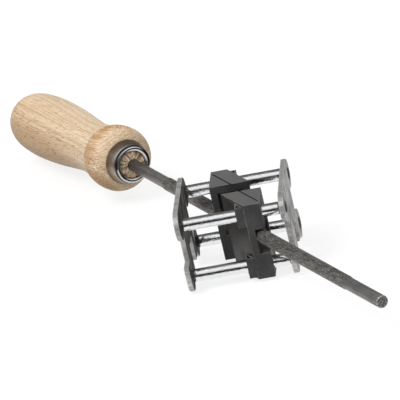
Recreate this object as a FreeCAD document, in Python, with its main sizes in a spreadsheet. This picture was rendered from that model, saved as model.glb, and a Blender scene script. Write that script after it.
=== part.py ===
import FreeCAD, Part
import math
import os
import Sketcher

# Bar-mounted chainsaw sharpener: a caged roller guide with a round file and a turned handle.
# Frame: +Z up, +X along the saw chain, -Y towards the user's side of the bar.
# Origin: the middle of the cage, half way between the plates and among the four rollers.

os.makedirs("parts", exist_ok=True)
doc = FreeCAD.newDocument("ChainsawSharpener")

# Driving dimensions in millimetres and degrees
driving = [
    # cage
    ("plateGap", 34.9),
    ("plateThick", 1.8),
    ("rollerSpanY", 30.0),
    ("rollerSpanZ", 19.1),
    ("lobeRadius", 5.2),
    ("frontWaist", 13.3),
    ("backWaist", 10.0),
    ("slotWidth", 8.4),
    ("slotTop", -2.5),
    ("armHeight", 4.6),
    ("cornerRadius", 1.2),
    # rollers and their riveted axles
    ("rollerDia", 4.5),
    ("axleDia", 2.6),
    ("axlePlay", 0.08),
    ("rollerEndPlay", 0.15),
    ("seatPlay", 0.02),
    ("rivetDia", 4.2),
    ("rivetThick", 0.3),
    # file
    ("fileDia", 4.8),
    ("fileAngle", 30.0),
    ("fileCrossX", -0.15),
    ("fileHeight", 1.1),
    ("cutLength", 135.0),
    ("cutFront", 80.7),
    ("tipDia", 4.4),
    ("tipLength", 23.6),
    ("tipChamfer", 0.4),
    ("shankDia", 4.3),
    ("shankLength", 31.0),
    ("tangSide", 3.0),
    ("tangEnd", 1.6),
    ("tangLength", 38.0),
    # guide blocks
    ("wallThick", 2.0),
    ("wallPlay", 0.12),
    ("backBlockGap", 3.3),
    ("channelWidth", 8.2),
    ("chainGap", 7.8),
    ("blockSkin", 0.97),
    ("blockShortSide", 5.8),
    ("blockHeight", 27.7),
    ("channelTop", 4.4),
    ("channelBottom", -4.8),
    ("borePlay", 0.08),
    ("earSetBack", 0.5),
    ("earReach", 3.1),
    ("earHeight", 7.4),
    ("earRim", 0.45),
    ("earRecess", 1.0),
    ("reliefDepth", 3.9),
    ("reliefTop", 11.2),
    ("grooveWidth", 0.5),
    ("grooveDepth", 0.4),
    ("grooveOffset", 5.4),
    ("grooveSetBack", 2.4),
    # handle
    ("ferruleDia", 16.5),
    ("ferruleWall", 0.8),
    ("rimDia", 14.2),
    ("rimBead", 1.1),
    ("rimStep", 0.35),
    ("rimGap", 0.15),
    ("shoulderAt", 6.0),
    ("shoulderStep", 0.4),
    ("woodFaceAt", 0.6),
    ("plugPlay", 0.05),
    ("shankSunk", 2.7),
    ("pilotPlay", 0.06),
    # the handle sits a little askew on the tang: how far, and towards which side
    ("handleLean", 2.17),
    ("leanSide", 42.0),
]

# Turned handle: distance behind the ferrule's front and radius, from behind the shoulder to the butt
turnings = [
    ("cuff", 7.0, 10.2),
    ("collar", 8.4, 11.4),
    ("bead", 12.6, 12.0),
    ("neckFront", 18.4, 11.3),
    ("neck", 25.0, 9.9),
    ("waist", 32.0, 9.5),
    ("flare", 40.0, 10.1),
    ("palm", 52.0, 11.2),
    ("belly", 66.0, 11.8),
    ("heel", 77.0, 11.3),
    ("butt", 83.0, 10.1),
    ("buttEdge", 87.6, 7.6),
    ("buttFace", 89.6, 4.0),
]
for name, distance, radius in turnings:
    driving.append((name + "At", distance))
    driving.append((name + "Rad", radius))

# Sizes that follow from the others
derived = [
    ("ferruleFront", "=cutFront - cutLength - shankLength + shankSunk"),
    ("blockOuter", "=rollerSpanY / 2 + rollerDia / 2 + borePlay + blockSkin"),
    ("shoulderRad", "=ferruleDia / 2 + shoulderStep"),
    ("rimRecess", "=2 * rimBead + rimGap"),
    ("coneFrontRad", "=rimDia / 2 - rimStep"),
    ("coneSlope", "=(ferruleDia / 2 - coneFrontRad) / (shoulderAt - rimBead)"),
]

sheet = doc.addObject("Spreadsheet::Sheet", "dims")
for row, (alias, value) in enumerate(driving + derived, start=1):
    sheet.set("A%d" % row, alias)
    sheet.set("B%d" % row, str(value))
    sheet.setAlias("B%d" % row, alias)
doc.recompute()


def bind(obj, **expressions):
    # ties an object's properties to the sheet; two underscores in a key stand for a dot
    for key, text in expressions.items():
        obj.setExpression(key.replace("__", "."), text)
    return obj


def place(obj, x="0 mm", y="0 mm", z="0 mm"):
    # binds the three coordinates of a placement
    return bind(obj, Placement__Base__x=x, Placement__Base__y=y, Placement__Base__z=z)


def box(name, length, width, height, x, y, z):
    obj = doc.addObject("Part::Box", name)
    bind(obj, Length=length, Width=width, Height=height)
    return place(obj, x, y, z)


def rodAlongX(name, radius, length, x, y="0 mm", z="0 mm"):
    # a cylinder that starts at x and runs towards +X
    obj = doc.addObject("Part::Cylinder", name)
    obj.Placement.Rotation = FreeCAD.Rotation(FreeCAD.Vector(0, 1, 0), 90)
    bind(obj, Radius=radius, Height=length)
    return place(obj, x, y, z)


def coneAlongX(name, firstRadius, lastRadius, length, x):
    # a cone that starts at x with its first radius and runs towards +X
    obj = doc.addObject("Part::Cone", name)
    obj.Placement.Rotation = FreeCAD.Rotation(FreeCAD.Vector(0, 1, 0), 90)
    bind(obj, Radius1=firstRadius, Radius2=lastRadius, Height=length)
    return place(obj, x)


def fuse(name, pieces):
    obj = doc.addObject("Part::MultiFuse", name)
    obj.Shapes = pieces
    obj.Refine = True
    return obj


def cut(name, base, tool):
    obj = doc.addObject("Part::Cut", name)
    obj.Base = base
    obj.Tool = tool
    obj.Refine = True
    return obj


# The four rollers by name, with the signs of their place in the cage
rollers = [
    ("back_top", 1, 1),
    ("front_top", -1, 1),
    ("front_bottom", -1, -1),
    ("back_bottom", 1, -1),
]


def rollerY(side):
    return "%d * dims.rollerSpanY / 2" % side


def rollerZ(level):
    return "%d * dims.rollerSpanZ / 2" % level


# Side plates

def outlineCorners(shape):
    # numbers of the edges across the sheet, without the seams where a bar meets a lobe smoothly
    numbers = []
    seam = sheet.rollerSpanY / 2 - 0.01
    toeTop = sheet.lobeRadius - sheet.rollerSpanZ / 2
    for number, edge in enumerate(shape.Edges, start=1):
        first, last = edge.Vertexes[0].Point, edge.Vertexes[-1].Point
        across = abs(abs(last.x - first.x) - sheet.plateThick) < 0.001
        toe = first.y < -seam - 1 and abs(first.z - toeTop) < 0.01
        if across and len(edge.Vertexes) == 2 and (abs(first.y) < seam or toe):
            numbers.append(number)
    return numbers


def roundOutline(label, blank):
    # rounds the outline's corners, and leaves them sharp where a size gives the radius no room
    doc.recompute()
    rounded = doc.addObject("Part::Fillet", label + "_rounded")
    rounded.Base = blank
    rounded.Edges = [(number, sheet.cornerRadius, sheet.cornerRadius)
                     for number in outlineCorners(blank.Shape)]
    doc.recompute()
    if rounded.isValid():
        return rounded
    doc.removeObject(rounded.Name)
    return blank


def makePlate(label, innerX, outward):
    # one stamped plate: four lobes round the axles, a top bar, a waisted web and a chain slot
    x = innerX if outward > 0 else "%s - dims.plateThick" % innerX
    thick = "dims.plateThick"
    pieces = []
    for name, side, level in rollers:
        lobe = rodAlongX("%s_lobe_%s" % (label, name), "dims.lobeRadius", thick, x,
                         rollerY(side), rollerZ(level))
        pieces.append(lobe)
    pieces.append(box(label + "_top_bar", thick, "dims.rollerSpanY", "dims.lobeRadius",
                      x, rollerY(-1), rollerZ(1)))
    pieces.append(box(label + "_web", thick, "dims.frontWaist + dims.backWaist",
                      "dims.rollerSpanZ / 2 - dims.slotTop", x, "-dims.frontWaist", "dims.slotTop"))
    legHeight = "dims.slotTop + dims.rollerSpanZ / 2 + dims.armHeight / 2"
    legFoot = "-(dims.rollerSpanZ + dims.armHeight) / 2"
    pieces.append(box(label + "_front_leg", thick, "dims.frontWaist - dims.slotWidth / 2",
                      legHeight, x, "-dims.frontWaist", legFoot))
    pieces.append(box(label + "_back_leg", thick, "dims.backWaist - dims.slotWidth / 2",
                      legHeight, x, "dims.slotWidth / 2", legFoot))
    armLength = "(dims.rollerSpanY - dims.slotWidth) / 2"
    pieces.append(box(label + "_front_arm", thick, armLength, "dims.armHeight",
                      x, rollerY(-1), legFoot))
    pieces.append(box(label + "_back_arm", thick, armLength, "dims.armHeight",
                      x, "dims.slotWidth / 2", legFoot))
    # the front foot is squared off at its upper corner
    pieces.append(box(label + "_toe", thick, "dims.rollerSpanY / 2 + dims.lobeRadius - dims.frontWaist + 1",
                      "dims.lobeRadius", x, "-(dims.rollerSpanY / 2 + dims.lobeRadius)", rollerZ(-1)))
    blank = fuse(label + "_blank", pieces)
    rounded = roundOutline(label, blank)
    holes = []
    for name, side, level in rollers:
        hole = rodAlongX("%s_hole_%s" % (label, name), "dims.axleDia / 2 + dims.seatPlay",
                         "3 * dims.plateThick", x + " - dims.plateThick",
                         rollerY(side), rollerZ(level))
        holes.append(hole)
    return cut(label, rounded, fuse(label + "_holes", holes))


# Rollers and axles

def makeRoller(name, side, level):
    length = "dims.plateGap - 2 * dims.rollerEndPlay"
    start = "-dims.plateGap / 2 + dims.rollerEndPlay"
    tube = rodAlongX(name + "_tube", "dims.rollerDia / 2", length, start,
                     rollerY(side), rollerZ(level))
    bore = rodAlongX(name + "_bore", "dims.axleDia / 2 + dims.axlePlay",
                     "dims.plateGap + 2", "-dims.plateGap / 2 - 1",
                     rollerY(side), rollerZ(level))
    return cut(name + "_roller", tube, bore)


def makeAxle(name, side, level):
    # a pin riveted over on the outside of both plates
    outer = "(dims.plateGap / 2 + dims.plateThick)"
    shaft = rodAlongX(name + "_shaft", "dims.axleDia / 2", "2 * " + outer, "-" + outer,
                      rollerY(side), rollerZ(level))
    leftHead = rodAlongX(name + "_left_head", "dims.rivetDia / 2", "dims.rivetThick",
                         "-%s - dims.rivetThick" % outer, rollerY(side), rollerZ(level))
    rightHead = rodAlongX(name + "_right_head", "dims.rivetDia / 2", "dims.rivetThick",
                          outer, rollerY(side), rollerZ(level))
    return fuse(name + "_axle", [shaft, leftHead, rightHead])


# Guide blocks, each drawn as the front one with its own origin on the slanted face at Y = 0

def plane(body, role):
    for feature in body.Origin.OriginFeatures:
        if feature.Role == role:
            return feature
    raise ValueError(role)


def sketchOn(body, name, role, offset):
    sketch = body.newObject("Sketcher::SketchObject", name)
    sketch.AttachmentSupport = (plane(body, role), [""])
    sketch.MapMode = "FlatFace"
    sketch.setExpression("AttachmentOffset.Base.z", offset)
    return sketch


def polygon(sketch, points):
    # closed outline whose corners are bound to expressions
    count = len(points)
    start = []
    for index in range(count):
        turn = 2 * math.pi * index / count
        start.append(FreeCAD.Vector(10 * math.cos(turn), 10 * math.sin(turn), 0))
    for index in range(count):
        sketch.addGeometry(Part.LineSegment(start[index], start[(index + 1) % count]), False)
    for index in range(count):
        following = (index + 1) % count
        sketch.addConstraint(Sketcher.Constraint("Coincident", index, 2, following, 1))
    for index, (x, y) in enumerate(points):
        for axis, text in (("DistanceX", x), ("DistanceY", y)):
            number = sketch.addConstraint(Sketcher.Constraint(axis, -1, 1, index, 1, 1.0))
            sketch.setExpression("Constraints[%d]" % number, text)
    return sketch


def pad(body, name, role, offset, height, points):
    sketch = polygon(sketchOn(body, name + "_sketch", role, offset), points)
    feature = body.newObject("PartDesign::Pad", name)
    feature.Profile = sketch
    feature.setExpression("Length", height)
    return feature


def pocket(body, name, role, offset, depth, points, upwards):
    sketch = polygon(sketchOn(body, name + "_sketch", role, offset), points)
    feature = body.newObject("PartDesign::Pocket", name)
    feature.Profile = sketch
    feature.Reversed = upwards
    feature.setExpression("Length", depth)
    return feature


def slanted(offset, y):
    # X of a line parallel to the file, offset square to it, at a given Y
    return "(%s) / cos(dims.fileAngle * 1 deg) - (%s) * tan(dims.fileAngle * 1 deg)" % (offset, y)


def makeBlock(label, placeX, turned):
    body = doc.addObject("PartDesign::Body", label + "_body")
    inner = "-dims.chainGap / 2"
    outer = "-dims.blockOuter"
    square = slanted("0", outer) + " + dims.blockShortSide"
    wall = "dims.wallThick"
    far = "dims.wallThick + dims.channelWidth"
    low = "-dims.blockHeight / 2"
    trapezoid = [(slanted("0", inner), inner), (slanted("0", outer), outer),
                 (square, outer), (square, inner)]
    pad(body, label + "_lower", "XY_Plane", low, "dims.channelBottom + dims.blockHeight / 2", trapezoid)
    pad(body, label + "_wall", "XY_Plane", "dims.channelBottom",
        "dims.channelTop - dims.channelBottom",
        [(slanted("0", inner), inner), (slanted("0", outer), outer),
         (slanted(wall, outer), outer), (slanted(wall, inner), inner)])
    pad(body, label + "_upper", "XY_Plane", "dims.channelTop",
        "dims.blockHeight / 2 - dims.channelTop", trapezoid)
    # the post at the chain side, its inner face parallel to the file
    reach = "((%s) - (%s)) / tan(dims.fileAngle * 1 deg)" % (square, slanted(far, "0"))
    pad(body, label + "_post", "XY_Plane", "dims.channelBottom",
        "dims.channelTop - dims.channelBottom",
        [(slanted(far, inner), inner), (square, "-(%s)" % reach), (square, inner)])
    # the two ears square off the slanted face round the rollers
    earFront = outer + " + dims.earSetBack"
    earX = slanted("0", outer) + " - dims.earReach"
    earBack = "-(%s) / tan(dims.fileAngle * 1 deg)" % earX
    for name, level in (("upper", 1), ("lower", -1)):
        pad(body, "%s_%s_ear" % (label, name), "XY_Plane",
            rollerZ(level) + " - dims.earHeight / 2", "dims.earHeight",
            [(earX, earFront), (slanted("dims.wallThick / 2", earFront), earFront),
             (earX + " + dims.wallThick / 2", earBack), (earX, earBack)])
    # a three-sided recess in the top of each ear, with an even rim
    rimX = earX + " + dims.earRim"
    rimFront = earFront + " + dims.earRim"
    rimBack = "-(%s + dims.earRim / cos(dims.fileAngle * 1 deg)) / tan(dims.fileAngle * 1 deg)" % rimX
    for name, level in (("upper", 1), ("lower", -1)):
        pocket(body, "%s_%s_recess" % (label, name), "XY_Plane",
               rollerZ(level) + " + dims.earHeight / 2", "dims.earRecess",
               [(rimX, rimFront), (slanted("-dims.earRim", rimFront), rimFront), (rimX, rimBack)], False)
    # relief for the chain's cutters in the upper half
    pocket(body, label + "_relief", "XY_Plane", "dims.channelTop",
           "dims.reliefTop - dims.channelTop",
           [(slanted(wall, inner), inner),
            (slanted(wall, inner + " - dims.reliefDepth"), inner + " - dims.reliefDepth"),
            (slanted(far, inner + " - dims.reliefDepth"), inner + " - dims.reliefDepth"),
            (slanted(far, inner), inner)], True)
    # angle mark on the top, parallel to the file
    markBack = inner
    markFront = outer + " + dims.grooveSetBack"
    markFar = "dims.grooveOffset + dims.grooveWidth"
    pocket(body, label + "_mark", "XY_Plane", "dims.blockHeight / 2", "dims.grooveDepth",
           [(slanted("dims.grooveOffset", markBack), markBack),
            (slanted("dims.grooveOffset", markFront), markFront),
            (slanted(markFar, markFront), markFront), (slanted(markFar, markBack), markBack)], False)
    doc.recompute()
    tools = []
    radius = "dims.rollerDia / 2 + dims.borePlay"
    for name, level in (("upper", 1), ("lower", -1)):
        bore = rodAlongX("%s_%s_bore" % (label, name), radius, "60 mm", "-30 mm",
                         rollerY(-1), rollerZ(level))
        tools.append(bore)
    block = cut(label, body, fuse(label + "_cuts", tools))
    if turned:
        block.Placement.Rotation = FreeCAD.Rotation(FreeCAD.Vector(0, 0, 1), 180)
    return place(block, placeX)


# File and handle share one axis, drawn along +X and turned to the filing angle

def onFileAxis(obj):
    obj.Placement.Rotation = FreeCAD.Rotation(FreeCAD.Vector(0, 0, 1), -60)
    bind(obj, Placement__Rotation__Angle="(dims.fileAngle - 90) * 1 deg")
    return place(obj, "dims.fileCrossX", "0 mm", "dims.fileHeight")


def leanOver():
    # turns the handle about the middle of the ferrule's front
    pivot = "vector(dims.ferruleFront; 0; 0)"
    axis = "vector(0; -sin(dims.leanSide * 1 deg); cos(dims.leanSide * 1 deg))"
    return "placement(vector(0; 0; 0); rotation(%s; dims.handleLean); %s)" % (axis, pivot)


def makeFile():
    cutBack = "dims.cutFront - dims.cutLength"
    shoulder = cutBack + " - dims.shankLength"
    teeth = rodAlongX("file_cut", "dims.fileDia / 2", "dims.cutLength", cutBack)
    tip = rodAlongX("file_tip", "dims.tipDia / 2", "dims.tipLength - dims.tipChamfer", "dims.cutFront")
    nose = coneAlongX("file_nose", "dims.tipDia / 2", "dims.tipDia / 2 - dims.tipChamfer",
                      "dims.tipChamfer", "dims.cutFront + dims.tipLength - dims.tipChamfer")
    shank = rodAlongX("file_shank", "dims.shankDia / 2", "dims.shankLength", shoulder)
    tang = doc.addObject("Part::Wedge", "file_tang")
    tang.Placement.Rotation = FreeCAD.Rotation(FreeCAD.Vector(0, 0, 1), 90)
    bind(tang, Ymin="0 mm", Ymax="dims.tangLength", Xmin="-dims.tangSide / 2",
         Xmax="dims.tangSide / 2", Zmin="-dims.tangSide / 2", Zmax="dims.tangSide / 2",
         X2min="-dims.tangEnd / 2", X2max="dims.tangEnd / 2", Z2min="-dims.tangEnd / 2",
         Z2max="dims.tangEnd / 2")
    place(tang, shoulder)
    return onFileAxis(fuse("file", [teeth, tip, nose, shank, tang]))


def makeHandle():
    sections = []
    for name in ["shoulder"] + [turning[0] for turning in turnings]:
        ring = doc.addObject("Part::Circle", "handle_" + name)
        ring.Placement.Rotation = FreeCAD.Rotation(FreeCAD.Vector(0, 1, 0), 90)
        bind(ring, Radius="dims.%sRad" % name)
        place(ring, "dims.ferruleFront - dims.%sAt" % name)
        sections.append(ring)
    turned = doc.addObject("Part::Loft", "handle_turned")
    turned.Sections = sections
    turned.Solid = True
    turned.Ruled = False
    # the spigot fills the cone of the ferrule, and the plug shows through its rolled rim
    seat = "dims.ferruleFront - dims.shoulderAt"
    skin = "dims.ferruleWall - dims.seatPlay"
    rise = "dims.coneSlope * (dims.rimRecess - dims.rimBead)"
    spigot = coneAlongX("handle_spigot", "dims.ferruleDia / 2 - " + skin,
                        "dims.coneFrontRad + %s - %s" % (rise, skin),
                        "dims.shoulderAt - dims.rimRecess", seat)
    plug = rodAlongX("handle_plug", "dims.rimDia / 2 - 2 * dims.rimBead - dims.plugPlay",
                     "dims.shoulderAt - dims.woodFaceAt", seat)
    pilot = rodAlongX("handle_pilot", "dims.shankDia / 2 + dims.pilotPlay",
                      "dims.tangLength + 6",
                      "dims.cutFront - dims.cutLength - dims.shankLength - dims.tangLength - 1")
    wood = bind(fuse("handle_wood", [turned, spigot, plug]), Placement=leanOver())
    return onFileAxis(cut("handle", wood, pilot))


def makeFerrule():
    back = "dims.ferruleFront - dims.shoulderAt"
    length = "dims.shoulderAt - dims.rimBead"
    shell = coneAlongX("ferrule_shell", "dims.ferruleDia / 2", "dims.coneFrontRad", length, back)
    hollow = coneAlongX("ferrule_hollow", "dims.ferruleDia / 2 - dims.ferruleWall",
                        "dims.coneFrontRad - dims.ferruleWall", length, back)
    cone = cut("ferrule_cone", shell, hollow)
    rim = doc.addObject("Part::Torus", "ferrule_rim")
    rim.Placement.Rotation = FreeCAD.Rotation(FreeCAD.Vector(0, 1, 0), 90)
    bind(rim, Radius1="dims.rimDia / 2 - dims.rimBead", Radius2="dims.rimBead")
    place(rim, "dims.ferruleFront - dims.rimBead")
    ferrule = fuse("ferrule", [cone, rim])
    where = "placement(vector(dims.fileCrossX; 0; dims.fileHeight); rotationz(dims.fileAngle - 90))"
    return bind(ferrule, Placement="%s * %s" % (where, leanOver()))


pieces = {}
pieces["left_plate"] = makePlate("left_plate", "-dims.plateGap / 2", -1)
pieces["right_plate"] = makePlate("right_plate", "dims.plateGap / 2", 1)
for name, side, level in rollers:
    pieces[name + "_roller"] = makeRoller(name, side, level)
    pieces[name + "_axle"] = makeAxle(name, side, level)
fileReach = "(dims.fileDia / 2 + %s + dims.wallThick) / cos(dims.fileAngle * 1 deg)"
pieces["front_guide_block"] = makeBlock(
    "front_guide_block", "dims.fileCrossX - " + fileReach % "dims.wallPlay", False)
pieces["back_guide_block"] = makeBlock(
    "back_guide_block", "dims.fileCrossX + " + fileReach % "dims.backBlockGap", True)
pieces["file"] = makeFile()
pieces["handle"] = makeHandle()
pieces["ferrule"] = makeFerrule()
doc.recompute()

for obj in doc.Objects:
    if "Invalid" in obj.State or "Error" in obj.State:
        raise RuntimeError("failed feature: " + obj.Name)
for node, obj in pieces.items():
    obj.Label = node
    shape = obj.Shape
    if shape.isNull() or not shape.isValid() or len(shape.Solids) != 1:
        raise RuntimeError("bad solid: %s with %d solids" % (node, len(shape.Solids)))
    shape.exportStep("parts/%s.step" % node)
    size = shape.BoundBox
    print("%-22s %8.1f mm3  %.1f x %.1f x %.1f" %
          (node, shape.Volume, size.XLength, size.YLength, size.ZLength))
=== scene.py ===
import bmesh
import bpy
import math
import random
from mathutils import Matrix, Vector
from mathutils.geometry import tessellate_polygon


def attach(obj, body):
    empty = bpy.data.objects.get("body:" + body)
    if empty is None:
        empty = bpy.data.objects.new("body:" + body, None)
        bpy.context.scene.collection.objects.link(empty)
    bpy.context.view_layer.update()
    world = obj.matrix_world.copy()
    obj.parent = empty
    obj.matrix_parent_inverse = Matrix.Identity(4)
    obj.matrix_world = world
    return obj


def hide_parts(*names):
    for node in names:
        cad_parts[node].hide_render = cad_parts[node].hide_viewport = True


# File guide: a roller cage with two plastic blocks, a round file and a turned beech handle.
# Metres, +X along the rollers, +Z up, the file points to -Y. Sizes in the dictionaries are millimetres.

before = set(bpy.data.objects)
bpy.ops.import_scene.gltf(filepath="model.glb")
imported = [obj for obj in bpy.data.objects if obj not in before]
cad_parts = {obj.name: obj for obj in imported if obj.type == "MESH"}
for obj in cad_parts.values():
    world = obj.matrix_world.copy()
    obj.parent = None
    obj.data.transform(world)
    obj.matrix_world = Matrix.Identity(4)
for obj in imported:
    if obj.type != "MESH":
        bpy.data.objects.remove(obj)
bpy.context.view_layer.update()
print("frame loaded with", len(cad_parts), "nodes")
mm = 0.001


# Small helpers for meshes

def finishPiece(name, bm, body, materials, replaced, smoothAngle=35):
    # turns a bmesh into a piece of the model that rides on a body and stands for its solid
    mesh = bpy.data.meshes.new(name)
    bmesh.ops.recalc_face_normals(bm, faces=bm.faces)
    for face in bm.faces:
        face.smooth = True
    bm.to_mesh(mesh)
    bm.free()
    mesh.set_sharp_from_angle(angle=math.radians(smoothAngle))
    piece = bpy.data.objects.new(name, mesh)
    bpy.context.scene.collection.objects.link(piece)
    for material in materials:
        mesh.materials.append(material)
    if "wornEdge" in mesh.attributes:  # flat faces stay flat beside their rounded edges
        weighted = piece.modifiers.new("flatFaces", "WEIGHTED_NORMAL")
        weighted.keep_sharp = True
    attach(piece, body)
    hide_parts(replaced)


def lathe(bm, profile, axis, segments, materialIndex=0):
    # turns a profile of (along, radius) round an axis; a radius of 0 closes an end on the axis
    rings = []
    for along, radius in profile:
        if radius == 0:
            rings.append([bm.verts.new(axis @ Vector((along, 0, 0)))])
            continue
        ring = []
        for index in range(segments):
            turn = 2 * math.pi * index / segments
            spot = Vector((along, radius * math.cos(turn), radius * math.sin(turn)))
            ring.append(bm.verts.new(axis @ spot))
        rings.append(ring)
    for first, second in zip(rings, rings[1:]):
        for index in range(segments):
            following = (index + 1) % segments
            corners = [first[index % len(first)], first[following % len(first)],
                       second[following % len(second)], second[index % len(second)]]
            corners = [c for n, c in enumerate(corners) if c not in corners[:n]]
            if len(corners) > 2:
                bm.faces.new(corners).material_index = materialIndex
    return rings


def smoothProfile(points, steps):
    # a rounded line through profile points, so that a turned shape has no flats
    line = []
    last = len(points) - 1
    for index in range(last):
        p0 = Vector(points[max(index - 1, 0)])
        p1, p2 = Vector(points[index]), Vector(points[index + 1])
        p3 = Vector(points[min(index + 2, last)])
        for step in range(steps):
            t = step / steps
            line.append(tuple(0.5 * (2 * p1 + (p2 - p0) * t + (2 * p0 - 5 * p1 + 4 * p2 - p3) * t * t
                                     + (3 * p1 - p0 - 3 * p2 + p3) * t ** 3)))
    line.append(tuple(points[-1]))
    return line


def solidCopy(nodeName):
    # the solid's own mesh, welded and with its flat faces joined up again
    bm = bmesh.new()
    bm.from_mesh(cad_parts[nodeName].data)
    bmesh.ops.remove_doubles(bm, verts=bm.verts, dist=0.002 * mm)
    bmesh.ops.dissolve_limit(bm, angle_limit=math.radians(0.6), verts=bm.verts, edges=bm.edges)
    return bm


def heightOf(face):
    return max(v.co.z for v in face.verts) - min(v.co.z for v in face.verts)


def softenEdges(bm, width, angle, steps, lineDepth):
    # rounds the hard edges but not cut lines, and marks both, so that a material can tell them
    least, most = (depth * mm for depth in lineDepth)
    mark = bm.faces.layers.float.new("wornEdge")
    line = bm.faces.layers.float.new("cutLine")
    walls = [f for f in bm.faces if least < heightOf(f) < most]
    kept = {edge for wall in walls for edge in wall.edges}
    for wall in walls:
        top = max(v.co.z for v in wall.verts)
        for face in {f for edge in wall.edges for f in edge.link_faces}:
            bottom = all(v.co.z < top - least for v in face.verts) and heightOf(face) < least
            if face == wall or bottom:
                face[line] = 1.0
    hard = [e for e in bm.edges if len(e.link_faces) == 2 and e.calc_face_angle(0) > math.radians(angle)]
    edges = [e for e in hard if e not in kept]
    made = bmesh.ops.bevel(bm, geom=edges, offset=width, offset_type="OFFSET", segments=steps,
                           profile=0.5, affect="EDGES", clamp_overlap=True)
    for face in made["faces"]:
        face[mark] = 1.0
    return bm


# Small helpers for materials

def addNode(tree, kind, **values):
    made = tree.nodes.new(kind)
    for key, value in values.items():
        setattr(made, key, value)
    return made


def feed(tree, target, source):
    # a socket takes a link or a plain value
    if isinstance(source, bpy.types.NodeSocket):
        tree.links.new(source, target)
    elif source is not None:
        target.default_value = source


def calc(tree, operation, first, second=None, clamp=False):
    made = addNode(tree, "ShaderNodeMath", operation=operation, use_clamp=clamp)
    for socket, source in zip(made.inputs, (first, second)):
        feed(tree, socket, source)
    return made.outputs[0]


def times(tree, first, second):
    return calc(tree, "MULTIPLY", first, second)


def plus(tree, first, second):
    return calc(tree, "ADD", first, second)


def blend(tree, amount, first, second):
    made = addNode(tree, "ShaderNodeMix", data_type="RGBA")
    feed(tree, made.inputs["Factor"], amount)
    feed(tree, made.inputs["A"], first)
    feed(tree, made.inputs["B"], second)
    return made.outputs["Result"]


def remap(tree, value, low, high, newLow=0.0, newHigh=1.0):
    made = addNode(tree, "ShaderNodeMapRange", interpolation_type="SMOOTHSTEP")
    for name, source in (("Value", value), ("From Min", low), ("From Max", high),
                         ("To Min", newLow), ("To Max", newHigh)):
        feed(tree, made.inputs[name], source)
    return made.outputs["Result"]


def noise(tree, vector, scale, detail=3.0, roughness=0.5, distortion=0.0):
    made = addNode(tree, "ShaderNodeTexNoise")
    for name, source in (("Vector", vector), ("Scale", scale), ("Detail", detail),
                         ("Roughness", roughness), ("Distortion", distortion)):
        feed(tree, made.inputs[name], source)
    return made.outputs["Fac"]


def split(tree, vector):
    made = addNode(tree, "ShaderNodeSeparateXYZ")
    feed(tree, made.inputs[0], vector)
    return made.outputs


def combine(tree, x, y, z):
    made = addNode(tree, "ShaderNodeCombineXYZ")
    for socket, source in zip(made.inputs, (x, y, z)):
        feed(tree, socket, source)
    return made.outputs[0]


def stretch(tree, vector, scales):
    made = addNode(tree, "ShaderNodeMapping")
    feed(tree, made.inputs["Vector"], vector)
    made.inputs["Scale"].default_value = scales
    return made.outputs["Vector"]


def bump(tree, height, depth, strength, normal=None):
    made = addNode(tree, "ShaderNodeBump")
    made.inputs["Distance"].default_value = depth * mm
    made.inputs["Strength"].default_value = strength
    feed(tree, made.inputs["Height"], height)
    feed(tree, made.inputs["Normal"], normal)
    return made.outputs["Normal"]


def newMaterial(name):
    material = bpy.data.materials.new(name)
    material.use_nodes = True
    tree = material.node_tree
    tree.nodes.clear()
    shader = addNode(tree, "ShaderNodeBsdfPrincipled")
    output = addNode(tree, "ShaderNodeOutputMaterial")
    tree.links.new(shader.outputs["BSDF"], output.inputs["Surface"])
    place = addNode(tree, "ShaderNodeTexCoord").outputs["Object"]
    return material, tree, shader, place


def dress(tree, shader, color, roughness, normal, metallic=0.0):
    # the four sockets that every material of the part sets
    feed(tree, shader.inputs["Base Color"], color)
    feed(tree, shader.inputs["Metallic"], metallic)
    feed(tree, shader.inputs["Roughness"], roughness)
    feed(tree, shader.inputs["Normal"], normal)


def newGroup(name, inputs, outputs):
    tree = bpy.data.node_groups.new(name, "ShaderNodeTree")
    kinds = {"value": "NodeSocketFloat", "vector": "NodeSocketVector"}
    for label, kind, default in inputs:
        socket = tree.interface.new_socket(name=label, in_out="INPUT", socket_type=kinds[kind])
        if default is not None:
            socket.default_value = default
    for label, kind in outputs:
        tree.interface.new_socket(name=label, in_out="OUTPUT", socket_type=kinds[kind])
    return tree, addNode(tree, "NodeGroupInput"), addNode(tree, "NodeGroupOutput")


def useGroup(tree, group, **values):
    made = addNode(tree, "ShaderNodeGroup", node_tree=group)
    for key, source in values.items():
        feed(tree, made.inputs[key], source)
    return made.outputs


# Shared effects

def makeFileAxisGroup():
    # place along the file, round it and away from its axis, for the file and its handle
    outputs = [("Local", "vector"), ("Along", "value"), ("Around", "value"), ("Out", "value")]
    tree, source, result = newGroup("fileAxis", [("Place", "vector", None)], outputs)
    moved = addNode(tree, "ShaderNodeVectorMath", operation="SUBTRACT")
    feed(tree, moved.inputs[0], source.outputs["Place"])
    moved.inputs[1].default_value = fileOrigin
    turned = addNode(tree, "ShaderNodeVectorRotate", rotation_type="Z_AXIS")
    feed(tree, turned.inputs["Vector"], moved.outputs[0])
    turned.inputs["Angle"].default_value = math.radians(90 - fileAngle)
    parts = split(tree, turned.outputs["Vector"])
    around = calc(tree, "DIVIDE", calc(tree, "ARCTAN2", parts["Z"], parts["Y"]), 2 * math.pi)
    squares = plus(tree, times(tree, parts["Y"], parts["Y"]), times(tree, parts["Z"], parts["Z"]))
    for name, value in (("Local", turned.outputs["Vector"]), ("Along", parts["X"]),
                        ("Around", around), ("Out", calc(tree, "SQRT", squares))):
        feed(tree, result.inputs[name], value)
    return tree


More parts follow.
